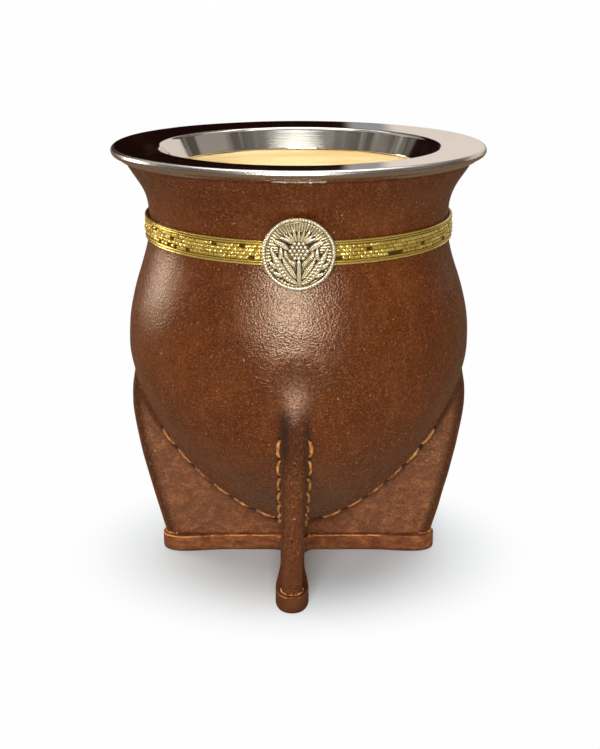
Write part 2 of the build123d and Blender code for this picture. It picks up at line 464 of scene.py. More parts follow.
def leather_finish():
    """Waxed brown hide: fine grained on the belly, rough and mottled on the fins, with painted shade in the
    seams, at the stitch holes, down the sides of each fin's edge and left of the front fin's top, a painted
    highlight on that top and a painted reflection of the table on the lower belly.
    """
    f = Finish("pebbled_hide")
    fin, valley, ridge, hole = f.mask("fin"), f.mask("valley"), f.mask("ridge"), f.mask("hole")
    scuff, streak, flank = f.mask("scuff"), f.mask("streak"), f.mask("flank")
    crackle = f.mask("crackle")
    level = f.axis("Z")
    cloud = f.noise(38, 4, 0.6)
    patch = f.noise(110, 4, 0.65)
    grain = f.cells(1900)
    speck = f.noise(2000, 2, 0.6)
    cracks = f.cells(520, "DISTANCE_TO_EDGE", f.stretched((1, 1, 1.6))).between(0.0, 0.09)
    colour = f.ramp((cloud * 0.6 + patch * 0.4).between(0.3, 0.72),
                    (0.0, (0.096, 0.0205, 0.0034)), (0.5, (0.131, 0.0290, 0.0045)),
                    (1.0, (0.176, 0.0440, 0.0075)))
    drag = f.noise(420, 3, 0.6, f.stretched((1, 1, 0.10)))
    suede = f.noise(340, 8, 0.80, f.stretched((1, 1, 1.4), (0.3, 0.5, 0.2)), 0.5)
    suede_colour = f.ramp(suede.between(0.36, 0.68),
                          (0.0, (0.112, 0.028, 0.008)), (0.5, (0.222, 0.063, 0.018)),
                          (1.0, (0.42, 0.155, 0.051)))
    suede_colour = f.mix(f.noise(75, 4, 0.6).between(0.36, 0.62) * 0.40, suede_colour, (0.120, 0.032, 0.010))
    worn = f.ramp(f.noise(1500, 3, 0.7).between(0.38, 0.66),
                  (0.0, (0.092, 0.023, 0.006)), (0.5, (0.140, 0.036, 0.009)), (1.0, (0.215, 0.066, 0.018)))
    colour = f.layered(
        colour,
        (level.between(0.100, 0.119) * 0.75, (0.090, 0.019, 0.004)),
        # painted reflection: a greyish sheen of the table laid on the lower belly
        ((1 - level.between(0.018, 0.056)) * 0.70 * (1 - fin), (0.098, 0.052, 0.038)),
        (drag.between(0.52, 0.70) * 0.22, (0.26, 0.085, 0.022)),
        (fin * 0.88, suede_colour),
        (ridge * 0.88, worn),
        (ridge * level.between(0.036, 0.050) * 0.65, (0.050, 0.013, 0.007)),
        # painted shade: the rounded sides of each fin's edge darkened where the light falls off
        (flank * 0.80, (0.042, 0.011, 0.005)),
        (grain.between(0.34, 0.66) * 0.35 * (1 - fin), (0.050, 0.011, 0.002)),
        (speck.between(0.53, 0.68) * 0.45, (0.32, 0.105, 0.028)),
        ((1 - speck.between(0.34, 0.47)) * 0.45, (0.036, 0.008, 0.002)),
        (f.noise(1700, 1).between(0.72, 0.78) * 0.6, (0.55, 0.36, 0.24)),
        # painted shade: a dark streak in the fold left of the front fin's top
        (streak * 0.85, (0.030, 0.010, 0.008)),
        # painted highlight: a pale glossy patch on the front fin's top
        (scuff * f.noise(1500, 4, 0.7).between(0.30, 0.62) * 0.60, (0.56, 0.33, 0.21)),
        ((1 - cracks) * crackle * 0.75, (0.028, 0.007, 0.002)),
        # painted shade in the creases where the fins meet the belly, along the seams
        (valley * 0.55, (0.036, 0.011, 0.005)),
        # painted shade: near black in the stitch holes and the gaps between stitches
        (hole, (0.004, 0.002, 0.001)),
    )
    rough = 0.20 + 0.14 * patch + 0.32 * fin + 0.02 * ridge + 0.4 * hole
    pebbles = f.bump(grain, 0.00008, 0.8)
    creases = f.bump(f.noise(1300, 3, 0.65, distortion=1.2), 0.00008, 0.6, pebbles)
    creases = f.bump(cracks * crackle, 0.00012, 0.8, creases)
    hair = f.bump(suede * fin, 0.0004, 0.5, creases)
    return f.coat(colour, rough.clipped(), hair, Specular_IOR_Level=0.8, Specular_Tint=hide_sheen)


def sole_finish():
    """Thick hide: brown faces, raw tan along the upper edge, dark at the table."""
    f = Finish("sole_hide")
    level = f.axis("Z")
    drag = f.noise(240, 5, 0.7, f.stretched((1, 1, 2.2)))
    colour = f.ramp(drag.between(0.3, 0.72), (0.0, (0.120, 0.032, 0.010)), (0.5, (0.212, 0.065, 0.022)),
                    (1.0, (0.330, 0.125, 0.048)))
    toe = 1 - f.axis("Y").between(-0.038, -0.026)
    wander = level + 0.0003 * f.noise(260, 3)
    side = wander.between(sole_top - 0.45 * mm, sole_top - 0.15 * mm)
    side = side * (1 - wander.between(sole_top, sole_top + 0.1 * mm))
    edge = side * f.noise(140, 4, 0.65).between(0.42, 0.56)
    colour = f.layered(
        colour,
        (toe * 0.80, (0.085, 0.022, 0.007)),
        ((1 - level.between(0.0002, 0.0018)) * 0.6, (0.045, 0.014, 0.008)),
        (edge * (1 - 0.45 * toe) * 0.90, (0.72, 0.29, 0.080)),
    )
    bump = f.bump(drag, 0.0003, 0.5)
    bump = f.bump(f.noise(1300, 3, 0.7), 0.0001, 0.5, bump)
    return f.coat(colour, 0.44 + 0.25 * drag, bump, Specular_IOR_Level=0.3, Specular_Tint=hide_sheen)


def steel_finish():
    """Polished steel with faint turning lines and fine dark specks, satin on the rolled lip."""
    f = Finish("polished_steel")
    smear = f.noise(60, 3, 0.6)
    lines = f.noise(6000, 2, 0.5, f.stretched((0.02, 0.02, 1)))
    x, y, level = f.axis("X"), f.axis("Y"), f.axis("Z")
    out = (x * x + y * y) ** 0.5
    rolled = out.between(rim_radius - 1.2 * mm, rim_radius - 0.7 * mm)
    inside = (1 - out.between(mouth_radius - 0.4 * mm, mouth_radius + 0.4 * mm)) * (
        1 - level.between(height - 2.0 * mm, height - 0.9 * mm))
    colour = f.mix(smear, (0.72, 0.69, 0.66), (0.82, 0.80, 0.77))
    specks = f.noise(1500, 2).between(0.70, 0.76)
    colour = f.mix(specks * 0.5, colour, (0.40, 0.37, 0.34))
    rough = 0.030 + 0.03 * smear.between(0.4, 0.7) + 0.02 * f.noise(900, 2) + 0.20 * rolled + 0.04 * inside
    return f.coat(colour, rough, f.bump(lines, 0.00002, 0.25), Metallic=1.0)


def gourd_finish():
    """Dried gourd wall: cream with faint streaks round it."""
    f = Finish("dried_gourd")
    streak = f.noise(90, 5, 0.6, f.stretched((0.35, 0.35, 4)))
    fibre = f.noise(700, 4, 0.7, f.stretched((0.3, 0.3, 2)))
    colour = f.ramp(streak.between(0.28, 0.75), (0.0, (0.86, 0.62, 0.27)), (0.45, (0.96, 0.76, 0.39)),
                    (1.0, (0.98, 0.85, 0.50)))
    colour = f.layered(colour, (fibre.between(0.55, 0.8) * 0.25, (0.66, 0.41, 0.16)),
                       ((1 - f.axis("Z").between(0.02, 0.09)) * 0.30, (0.55, 0.34, 0.14)))
    return f.coat(colour, 0.55 + 0.2 * fibre, f.bump(fibre, 0.0002, 0.4))


def gilt_finish():
    """Stamped gilt strip: bright on its high blocks, tarnished in its recesses."""
    f = Finish("stamped_gilt")
    high = f.mask("high")
    tone = f.noise(500, 3, 0.6)
    colour = f.ramp(high, (0.0, (0.13, 0.080, 0.012)), (0.45, (0.90, 0.64, 0.12)), (1.0, (1.0, 0.86, 0.31)))
    colour = f.mix(tone.between(0.45, 0.75) * 0.35, colour, (0.70, 0.42, 0.06))
    rough = 0.26 - 0.08 * high + 0.12 * tone
    return f.coat(colour, rough, f.bump(f.noise(2600, 3, 0.7), 0.00005, 0.5), Metallic=0.76)


def pale_gilt_finish():
    """Cast relief: painted highlight makes its proud tops pale, painted shade makes its hollows dark and
    warm.
    """
    f = Finish("cast_pale_gilt")
    high = f.mask("high")
    tone = f.noise(420, 4, 0.6)
    # painted light: dark painted shade in the hollows rising to a pale painted highlight on the tops
    colour = f.ramp((high + 0.25 * tone - 0.12).clipped(), (0.0, (0.030, 0.021, 0.010)),
                    (0.28, (0.32, 0.24, 0.12)), (0.48, (0.82, 0.70, 0.43)), (1.0, (1.0, 0.97, 0.80)))
    rough = 0.36 - 0.18 * high + 0.10 * tone
    return f.coat(colour, rough, f.bump(f.noise(2200, 3, 0.7), 0.00006, 0.5), Metallic=0.70)


def thread_finish():
    """Waxed tan thread, darker where it is worn in."""
    f = Finish("waxed_thread")
    tone = f.noise(520, 4, 0.65)
    fuzz = f.noise(3800, 3, 0.7)
    colour = f.ramp(tone.between(0.3, 0.72), (0.0, (0.17, 0.048, 0.010)), (0.45, (0.50, 0.180, 0.042)),
                    (1.0, (0.74, 0.36, 0.11)))
    return f.coat(colour, 0.55 + 0.2 * fuzz, f.bump(fuzz, 0.0001, 0.6))


def glue_finish():
    """Set amber glue."""
    f = Finish("amber_glue")
    tone = f.noise(600, 3)
    colour = f.mix(tone, (0.46, 0.13, 0.012), (0.70, 0.27, 0.05))
    return f.coat(colour, 0.22 + 0.2 * tone, Coat_Weight=0.4)


# ---------------------------------------------------------------- leather cover

def rough_fin(bm, name):
    """Add a plain plate for a fin, which the surface pass then shapes."""
    angle, shift, lean, rise = fins[name]
    steps = 14
    top = crest_level + shoulder_fall + rise
    low = sole_top - 0.6 * mm
    levels = [low + (top - low) * step / steps for step in range(steps + 1)]
    side = [(float(crest(np.array(level), rise)), level) for level in levels]
    outline = side + [(20 * mm, top), (0.5 * mm, base_level + 8 * mm), (0.5 * mm, low)]
    half = fin_top_thickness / 2
    corners = [bm.verts.new((out, -half, level)) for out, level in outline]
    face = bm.faces.new(corners)
    grown = bmesh.ops.extrude_face_region(bm, geom=[face])["geom"]
    moved = new_corners(grown)
    bmesh.ops.translate(bm, verts=moved, vec=(0, 2 * half, 0))
    whole = list(set(corners + moved))
    for corner in whole:
        corner.co.y += shift + (corner.co.z - sole_top) * tan(lean)
    bmesh.ops.rotate(bm, verts=whole, cent=(0, 0, 0), matrix=Matrix.Rotation(radians(angle), 3, "Z"))


def remeshed(bm, size):
    """One even skin over everything in a bmesh."""
    bmesh.ops.recalc_face_normals(bm, faces=bm.faces)
    lump = placed("lump", to_mesh("lump", bm))
    remesh = lump.modifiers.new("even", "REMESH")
    remesh.mode = "VOXEL"
    remesh.voxel_size = size
    even = bpy.data.meshes.new_from_object(lump.evaluated_get(bpy.context.evaluated_depsgraph_get()))
    bpy.data.objects.remove(lump)
    return even


def hide_unevenness(points):
    """Small swellings and pulls of the stretched hide, outwards from the surface."""
    level = points[:, 2]
    swell = 0.16 * mm * waves(points, 17 * mm, 3) + 0.07 * mm * waves(points, 6 * mm, 8)
    front = smoothstep(-points[:, 1], 30 * mm, 44 * mm)
    above = smoothstep(level, 62 * mm, 70 * mm) * (1 - smoothstep(level, 74 * mm, 86 * mm))
    middle = hump(points[:, 0], 0, 13 * mm)
    ripple = np.sin(level / (1.15 * mm) + 2.5 * waves(points, 7 * mm, 5))
    return swell + 0.045 * mm * ripple * front * above * middle


def seam_points(name, side):
    """Places along a seam: the ends of each stitch in turn, from the base upwards."""
    outline = np.array(skin_outline(-seam_off, skin_top, 200))
    length = np.concatenate([[0], np.cumsum(np.hypot(*np.diff(outline, axis=0).T))])
    angle, shift, lean, _ = fins[name]
    ends = []
    for number in range(stitch_counts[name]):
        for run in (0, stitch_length):
            at = seam_start + number * stitch_pitch + run
            out, level = np.interp(at, length, outline[:, 0]), np.interp(at, length, outline[:, 1])
            middle = shift + (level - sole_top) * tan(lean)
            across = middle + side * (fin_foot_thickness / 2 + 0.6 * mm)
            ends.append(((max(out ** 2 - across ** 2, 0)) ** 0.5, across, level))
    turn = Matrix.Rotation(radians(angle), 3, "Z")
    return np.array([turn @ Vector(end) for end in ends])


def nearest(points, places):
    """The distance from each point to the nearest of some places."""
    best = np.full(len(points), 1.0)
    for place in places:
        best = np.minimum(best, np.linalg.norm(points - place, axis=1))
    return best


def lined(mesh):
    """Open the cover's mouth and give it an inner wall down to a closed base."""
    bm = bmesh.new()
    bm.from_mesh(mesh)
    bmesh.ops.bisect_plane(bm, geom=bm.verts[:] + bm.edges[:] + bm.faces[:], dist=1e-6,
                           plane_co=(0, 0, skin_top), plane_no=(0, 0, 1), clear_outer=True)
    inside = skin_outline(leather, skin_top, 12)[::-1]
    edge = [item for item in bm.edges if item.is_boundary]
    for radius, level in inside:
        grown = bmesh.ops.extrude_edge_only(bm, edges=edge)["geom"]
        edge = [item for item in grown if isinstance(item, bmesh.types.BMEdge)]
        for corner in new_corners(grown):
            out = hypot(corner.co.x, corner.co.y)
            if out > 0:
                corner.co = (corner.co.x * radius / out, corner.co.y * radius / out, level)
    bmesh.ops.remove_doubles(bm, verts=bm.verts, dist=1e-7)
    bmesh.ops.recalc_face_normals(bm, faces=bm.faces)
    return to_mesh("leather_skin", bm)


def mark_cover(mesh, gaps):
    """Store where the hide is a fin or a ridge, where it is creased or holed, and its painted light: shade
    in the seam creases, at the holes, down the fin edges' sides and left of the front fin's top, and a
    highlight on that top.
    """
    points = get_points(mesh)
    level = points[:, 2]
    front = -points[:, 1]
    bulb_far = bulb_distance(points)
    fin_near = np.min([np.abs(fin_distance(points, name)) for name in fins], axis=0)
    onto_fin = smoothstep(bulb_far, 1.4 * mm, 3.2 * mm)
    ridge = np.zeros(len(points))
    flank = np.zeros(len(points))
    for name in fins:
        out, across = fin_place(points, name)
        rise = fins[name][3]
        edge_near = smoothstep(out - crest(level, rise), -4.5 * mm, -1.0 * mm) * (out > 0)
        middle = 1 - smoothstep(np.abs(across), 2.8 * mm, 4.2 * mm)
        fade = 1 - smoothstep(level, 52 * mm + rise, 60 * mm + rise)
        ridge = np.maximum(ridge, edge_near * middle * fade)
        # painted shade mask: the outer sides of each fin's rounded edge
        along = np.abs(across) / (fin_foot_thickness / 2)
        flank = np.maximum(flank, edge_near * smoothstep(along, 0.62, 1.0) * fade)
    low = 1 - smoothstep(level, 44 * mm, 54 * mm)
    # painted shade mask: the crease between belly and fin, below the fins' tops
    valley = hump(bulb_far, 1.2 * mm, 1.3 * mm) * hump(fin_near, 0, 1.5 * mm) * low
    # painted highlight mask: the bulge at the front fin's top
    scuff = smoothstep(front, 43.0 * mm, 46.5 * mm) * hump(level, 64.5 * mm, 4 * mm)
    scuff *= hump(points[:, 0], -0.7 * mm, 3 * mm)
    # painted shade mask: the fold left of the front fin's top
    streak = hump(points[:, 0], -3.4 * mm, 1.5 * mm) * smoothstep(front, 40 * mm, 44 * mm)
    streak *= smoothstep(level, 44 * mm, 52 * mm) * (1 - smoothstep(level, 58 * mm, 63 * mm))
    crackle = smoothstep(front, 40 * mm, 45 * mm) * hump(points[:, 0], 0, 9 * mm)
    crackle *= hump(level, 69 * mm, 5 * mm)
    set_mask(mesh, "streak", streak)
    set_mask(mesh, "flank", flank * smoothstep(bulb_far, 0.4 * mm, 1.6 * mm))
    set_mask(mesh, "fin", onto_fin * (1 - ridge))
    set_mask(mesh, "ridge", ridge * smoothstep(bulb_far, -0.2 * mm, 1.0 * mm))
    set_mask(mesh, "valley", valley)
    # the hole mask darkens the holes and gaps with painted shade, and roughens them
    set_mask(mesh, "hole", np.exp(-(nearest(points, gaps) / hole_radius) ** 4))
    set_mask(mesh, "scuff", scuff)
    set_mask(mesh, "crackle", crackle)


def leather_cover(finish):
    """The skin and its four fins in one piece, with its stitch holes pulled in."""
    bulb = skin_outline(0, skin_top, 40)
    bm = turned(bulb + [(mouth_edge, skin_top + 2 * mm), (0, skin_top + 2 * mm)], 96, False)
    for name in fins:
        rough_fin(bm, name)
    mesh = remeshed(bm, 0.78 * mm)
    points = get_points(mesh)
    body = points[:, 2] < skin_top + 0.5 * mm
    points[body] = onto_cover(points[body])
    seams = [seam_points(name, side) for name in fins for side in (-1, 1)]
    holes = onto_cover(np.concatenate(seams))
    between = [(ends[1:-1:2] + ends[2::2]) / 2 for ends in seams]
    gaps = onto_cover(np.concatenate(seams + between))
    slope = slope_of(cover_distance, points)
    level = points[:, 2]
    calm = smoothstep(level, 7 * mm, 14 * mm) * (1 - smoothstep(level, 112 * mm, 117 * mm))
    pull = -0.45 * mm * hump(nearest(points, holes), 0, 0.9 * mm)
    points[body] += (slope * (hide_unevenness(points) * calm + pull)[:, None])[body]
    points[:, 2] = np.maximum(points[:, 2], sole_top)
    set_points(mesh, points)
    mesh = lined(mesh)
    mark_cover(mesh, gaps)
    return show(mesh, finish, "leather", "leather_cover")


# ---------------------------------------------------------------- gourd and rim

def gourd_shell(finish):
    """The dried shell: thick walls, a little lumpy inside, and a seat for the sleeve."""
    gap = 0.1 * mm
    under_flange = height - flange_dish - steel - gap
    outside = skin_outline(leather + gap, under_flange, 36)
    inside = skin_outline(leather + gourd_wall, sleeve_end - gap, 36)
    inside = [(min(radius, sleeve_end_radius) if level > neck_level else radius, level)
              for radius, level in inside]
    seat = [(mouth_radius + steel + gap, under_flange), (sleeve_end_radius + steel + gap, sleeve_end - gap)]
    mesh = to_mesh("gourd_wall", turned(outside + seat + inside[::-1], 160, False))
    points = get_points(mesh)
    out, _ = around_axis(points)
    below_sleeve = points[:, 2] < sleeve_end - 2 * mm
    inner = (out < skin_radius(points[:, 2], leather + gourd_wall / 2)) & below_sleeve
    lump = 0.25 * mm * waves(points, 14 * mm, 11) + 0.08 * mm * waves(points * (1, 1, 4), 9 * mm, 12)
    push_out(points, lump, inner)
    set_points(mesh, points)
    return show(mesh, finish, "gourd", "gourd_shell")


def rim(finish):
    """The collar: a dished flange, a rolled lip with two fine grooves, a skirt and a sleeve."""
    lip = (rim_radius - lip_radius, height - lip_radius)
    flange = height - flange_dish
    skirt_inside = mouth_edge + 0.35 * mm
    slope = (mouth_radius - sleeve_end_radius, flange - sleeve_end)
    lean = np.arctan2(slope[0], slope[1])
    bend = (mouth_radius + mouth_round, flange - mouth_round)
    top = run_between((lip[0], height), (bend[0], flange), 14)
    corner = arc(bend, mouth_round, 90, 180 - np.degrees(lean), 10)
    sleeve = run_between(corner[-1], (sleeve_end_radius, sleeve_end), 10)
    under = [(sleeve_end_radius, sleeve_end), (sleeve_end_radius + steel, sleeve_end),
             (mouth_radius + steel, flange - steel), (skirt_inside - 1.5 * mm, flange - steel),
             (skirt_inside, height - 2 * lip_radius), (skirt_inside, skirt_end)]
    skirt = [(skirt_inside + 0.2 * mm, skirt_end - 0.05 * mm), (skirt_inside + steel, skirt_end),
             (skirt_inside + steel + 0.15 * mm, skirt_end + 0.5 * mm)]
    bead = arc(lip, lip_radius, -75, 90, 26)[:-1]
    grooved = []
    for number, (radius, level) in enumerate(bead):
        cut = 0.05 * mm if number in (7, 8, 15, 16) else 0
        grooved.append((radius - cut, level))
    outline = top + corner[:-1] + sleeve + under + skirt + grooved
    mesh = to_mesh("steel_rim", turned(outline, 288, True))
    points = get_points(mesh)
    out, around = around_axis(points)
    wave = 0.020 * mm * np.sin(5 * around + 0.7)
    wave += 0.012 * mm * np.sin(11 * around + 2) * (points[:, 2] > skirt_end)
    points[:, 2] += wave * (points[:, 2] > height - 1.2 * mm)
    sleeve_part = (out < mouth_radius + mouth_round) & (points[:, 2] < flange - 0.3 * mm)
    dent = 0.09 * mm * np.sin(7 * around + 1.1) + 0.06 * mm * np.sin(13 * around + 0.3)
    push_out(points, dent, sleeve_part)
    set_points(mesh, points)
    return show(mesh, finish, "steel", "rim")


# ---------------------------------------------------------------- band and medallion

def gilt_band(finish):
    """The stamped strip: two beads along each edge and uneven blocks between them."""
    inside = band_radius - 0.5 * mm - 0.35 * mm
    base = band_radius - 0.45 * mm
    rows, columns = 40, 1280
    face = [(base, band_low + (band_high - band_low) * row / rows) for row in range(rows + 1)]
    outline = [(inside, band_low)] + face + [(inside, band_high)]
    mesh = to_mesh("stamped_band", turned(outline, columns, True))
    points = get_points(mesh)
    out, around = around_axis(points)
    around %= full_turn
    share = (points[:, 2] - band_low) / (band_high - band_low)
    rng = np.random.default_rng(14)
    block_rows, block_columns = 4, 168
    marks, tilts = rng.random((2, block_rows, block_columns))
    for row in range(block_rows):
        for column in range(block_columns):
            if rng.random() < 0.30 and marks[row, column - 1] > 0.16:
                marks[row, column] = marks[row, column - 1]
            elif row and rng.random() < 0.18:
                marks[row, column] = marks[row - 1, column]
    field_low, field_high = 0.2, 0.8
    down = (share - field_low) / (field_high - field_low) * block_rows
    row = np.clip(down.astype(int), 0, block_rows - 1)
    along = (around / full_turn * block_columns + 0.5 * (row % 2)) % block_columns
    column = along.astype(int) % block_columns
    level = np.where(marks[row, column] > 0.55, 1.0, np.where(marks[row, column] > 0.16, 0.55, 0.0))
    inner = np.minimum(np.minimum(along % 1, 1 - along % 1) * 2.3, np.minimum(down % 1, 1 - down % 1))
    facet = 1 + 1.3 * (tilts[row, column] - 0.5) * (2 * (along % 1) - 1)
    blocks = level * facet * smoothstep(inner, 0.04, 0.24) * (share > field_low) * (share < field_high)
    beads = np.maximum(np.exp(-((np.abs(share - 0.5) - 0.46) / 0.028) ** 2),
                       0.7 * np.exp(-((np.abs(share - 0.5) - 0.36) / 0.022) ** 2))
    high = np.maximum(blocks, beads)
    push_out(points, 0.45 * mm * high, out > inside + 0.1 * mm)
    set_points(mesh, points)
    set_mask(mesh, "high", high)
    return show(mesh, finish, "gilt", "gilt_band")


def ridge_line(spots, path, widths, rise, vein=0.0, barbs=0.0):
    """Height of a domed ridge along a curve of three points, in millimetres."""
    (x0, z0), (x1, z1), (x2, z2) = path
    best = np.zeros(len(spots))
    steps = 60
    for step in range(steps + 1):
        share = step / steps
        tall = rise * (1 + barbs * cos(step * full_turn / 5))
        x = (1 - share) ** 2 * x0 + 2 * share * (1 - share) * x1 + share ** 2 * x2
        z = (1 - share) ** 2 * z0 + 2 * share * (1 - share) * z1 + share ** 2 * z2
        wide = widths[0] + (widths[1] - widths[0]) * share + widths[2] * sin(pi * share)
        far = np.hypot(spots[:, 0] - x, spots[:, 1] - z) / max(wide, 0.05)
        dome = np.sqrt(np.maximum(1 - far ** 2, 0)) * (1 - vein * np.exp(-(far / 0.25) ** 2))
        best = np.maximum(best, tall * dome * (0.5 + 0.5 * min(1.0, 4 * share, 6 * (1 - share))))
    return best


def bead(spots, x, z, size, rise):
    """Height of one round bead."""
    far = np.hypot(spots[:, 0] - x, spots[:, 1] - z) / size
    return rise * np.sqrt(np.maximum(1 - far ** 2, 0))


def relief(spots):
    """A beaded flower head with petals over long lobed leaves: height in millimetres for each spot."""
    out, around = around_axis(spots)
    from_head = np.hypot(spots[:, 0], spots[:, 1] - 1)
    toward = np.arctan2(spots[:, 1] - 1, spots[:, 0])
    rays = (0.5 + 0.5 * np.cos(toward * 58)) * smoothstep(from_head, 2.6, 4.2)
    field = 0.10 + 0.05 * np.sin(around * 5 + 2 * out) + 0.15 * rays
    stem = ((0.3, -7.6), (0.0, -4), (0.1, -1.0))
    field = np.maximum(field, ridge_line(spots, stem, (0.62, 0.48, 0), 0.75, 0.3))
    head = bead(spots, 0.1, 0.9, 2.75, 0.62)
    for row in range(5):
        for column in range(5 - row % 2):
            x = 0.1 + (column - (4 - row % 2) / 2) * 1.02
            z = -0.85 + row * 0.88
            if hypot(x - 0.1, (z - 0.9) * 1.05) < 2.4:
                scale = bead(spots, x, z, 0.50, 0.34)
                head = np.maximum(head, (0.50 + scale) * (scale > 0))
    field = np.maximum(field, head)
    for number in range(9):
        lean = radians(-64 + 16 * number)
        reach = 3.4 + 0.45 * cos(number * 2.1)
        start = (0.1 + 1.5 * sin(lean), 2.6)
        tip = (0.1 + (1.5 + reach) * sin(lean), 2.6 + reach * cos(lean))
        middle = ((start[0] + tip[0]) / 2, (start[1] + tip[1]) / 2 + 0.35)
        field = np.maximum(field, ridge_line(spots, (start, middle, tip), (0.34, 0.16, 0.24), 0.72, 0.3))
    for side in (-1, 1):
        for path, widths, rise in (
            (((0.4, -7.3), (4.4, -5.4), (7.0, 1.9)), (0.35, 0.14, 0.95), 0.80),
            (((0.3, -6.4), (2.3, -4.4), (4.2, -0.6)), (0.25, 0.14, 0.60), 0.66),
            (((2.9, -5.2), (4.8, -5.6), (6.3, -4.4)), (0.40, 0.16, 0.40), 0.66),
            (((4.6, -3.4), (6.0, -3.4), (7.4, -1.8)), (0.40, 0.16, 0.40), 0.66),
            (((4.9, -1.6), (4.0, -0.2), (4.5, 1.9)), (0.36, 0.14, 0.36), 0.66),
            (((2.6, 1.0), (4.0, 2.4), (6.2, 3.2)), (0.40, 0.14, 0.50), 0.70),
        ):
            here = [(side * x + 0.1, z + 0.25 * (side < 0)) for x, z in path]
            field = np.maximum(field, ridge_line(spots, here, widths, rise, 0.5, 0.16))
    ribs = 0.78 + 0.22 * np.cos(around * 76 + 2 * np.sin(around * 3)) * (0.6 + 0.4 * np.sin(around + 0.5))
    rope = 0.66 * np.sqrt(np.maximum(1 - ((out - 8.5) / 0.5) ** 2, 0)) * ribs
    ring = 0.26 * np.exp(-((out - 7.8) / 0.14) ** 2)
    return np.maximum(np.maximum(field * (out < 8.05), rope), ring)


def cast_relief(spots):
    """Height of the relief at each spot, and how far the spot stands proud of what is round it."""
    cells, reach = 260, 9.4
    line = np.linspace(-reach, reach, cells)
    across, up = np.meshgrid(line, line)
    tall = relief(np.stack([across.ravel(), up.ravel()], 1)).reshape(cells, cells)
    soft = tall
    for _ in range(50):
        soft = (soft + sum(np.roll(soft, shift, axis) for shift in (-1, 1) for axis in (0, 1))) / 5
    place = (spots + reach) / (2 * reach) * (cells - 1)
    low = np.clip(place.astype(int), 0, cells - 2)
    share = np.clip(place - low, 0, 1)
    x, z, sx, sz = low[:, 0], low[:, 1], share[:, 0], share[:, 1]
    sampled = []
    for grid in (tall, tall - soft):
        below = grid[z, x] * (1 - sx) + grid[z, x + 1] * sx
        above = grid[z + 1, x] * (1 - sx) + grid[z + 1, x + 1] * sx
        sampled.append(below * (1 - sz) + above * sz)
    return sampled


def medallion(finish):
    """The cast disc with its relief, facing the front."""
    rings, turns = 110, 420
    drawn_radius = 9.0      # the relief is drawn in millimetres, on a disc of this radius
    radius = medallion_radius
    plate = 0.75 * mm
    face = [(radius * ring / rings, plate) for ring in range(rings + 1)]
    mesh = to_mesh("relief_disc", turned(face + [(radius, 0), (0, 0)], turns, False))
    points = get_points(mesh)
    spots = points[:, :2] * (drawn_radius / radius)
    top = points[:, 2] > plate / 2
    tall, proud = cast_relief(spots)
    points[top, 2] += 1.15 * tall[top] * mm
    _, around = around_axis(points)
    points[:, :2] *= (1 - 0.010 + 0.008 * np.sin(3 * around + 1) + 0.004 * np.sin(7 * around))[:, None]
    standing = np.stack([points[:, 0], medallion_back - points[:, 2], medallion_level + points[:, 1]], 1)
    set_points(mesh, standing)
    # painted light: the mask sets a pale painted highlight on proud tops and painted shade in the hollows
    set_mask(mesh, "high", np.clip(0.44 + proud / 0.32, 0, 1) * top)
    return show(mesh, finish, "pale_gilt", "medallion")


# ---------------------------------------------------------------- sole and stitches

def arm_half_width(out):
    """Half the width of an arm of the sole at a distance from the middle."""
    toe_middle = sole_reach - toe_length
    flare = arm_half + (toe_half - arm_half) * smoothstep(out, arm_narrow_radius, toe_middle)
    beyond = np.clip((out - toe_middle) / toe_length, 0, 1)
    fullness = 2.2
    return flare * (1 - beyond ** fullness) ** (1 / fullness)


def sole(finish):
    """The cross of thick hide, with hollow corners, round edges and a slightly wavy side."""
    bm = bmesh.new()
    steps, hollow_steps = 56, 10
    start = arm_half + crotch_radius
    corners = []
    for name in ("right", "back", "left", "front"):
        angle, shift, _, _ = fins[name]
        turn = Matrix.Rotation(radians(angle), 3, "Z")
        runs = [start + (sole_reach - start) * sin(pi / 2 * step / steps) for step in range(steps + 1)]
        lower = [(run, shift - float(arm_half_width(np.array(run)))) for run in runs]
        upper = [(run, shift + float(arm_half_width(np.array(run)))) for run in reversed(runs[:-1])]
        turns = [pi / 2 * step / hollow_steps for step in range(1, hollow_steps)]
        hollow = [(start - crotch_radius * sin(bend), shift + arm_half + crotch_radius * (1 - cos(bend)))
                  for bend in turns]
        corners += [turn @ Vector((x, y, 0)) for x, y in lower + upper + hollow]
    bm.faces.new([bm.verts.new(corner) for corner in corners])
    bmesh.ops.remove_doubles(bm, verts=bm.verts, dist=0.02 * mm)
    grown = bmesh.ops.extrude_face_region(bm, geom=bm.faces[:])["geom"]
    moved = new_corners(grown)
    bmesh.ops.translate(bm, verts=moved, vec=(0, 0, sole_top))
    bmesh.ops.recalc_face_normals(bm, faces=bm.faces)
    for low, size in ((True, sole_round), (False, sole_top_round)):
        at_face = sole_top * (not low)
        edges = [edge for edge in bm.edges if edge.is_manifold
                 and all(abs(vert.co.z - at_face) < 0.1 * mm for vert in edge.verts)]
        bmesh.ops.bevel(bm, geom=edges, offset=size, offset_type="OFFSET", affect="EDGES", segments=4,
                        profile=0.5, material=-1)
    upright = [edge for edge in bm.edges if edge.calc_length() > 2.5 * mm
               and abs(edge.verts[0].co.z - edge.verts[1].co.z) > 2 * mm]
    bmesh.ops.subdivide_edges(bm, edges=upright, cuts=4)
    mesh = to_mesh("cross_sole", bm)
    points = get_points(mesh)
    middle = np.sin(np.clip(points[:, 2] / sole_top, 0, 1) * pi)
    sway = 0.22 * mm * waves(points, 9 * mm, 21) * middle
    push_out(points, sway)
    set_points(mesh, points)
    return show(mesh, finish, "sole_leather", "sole")


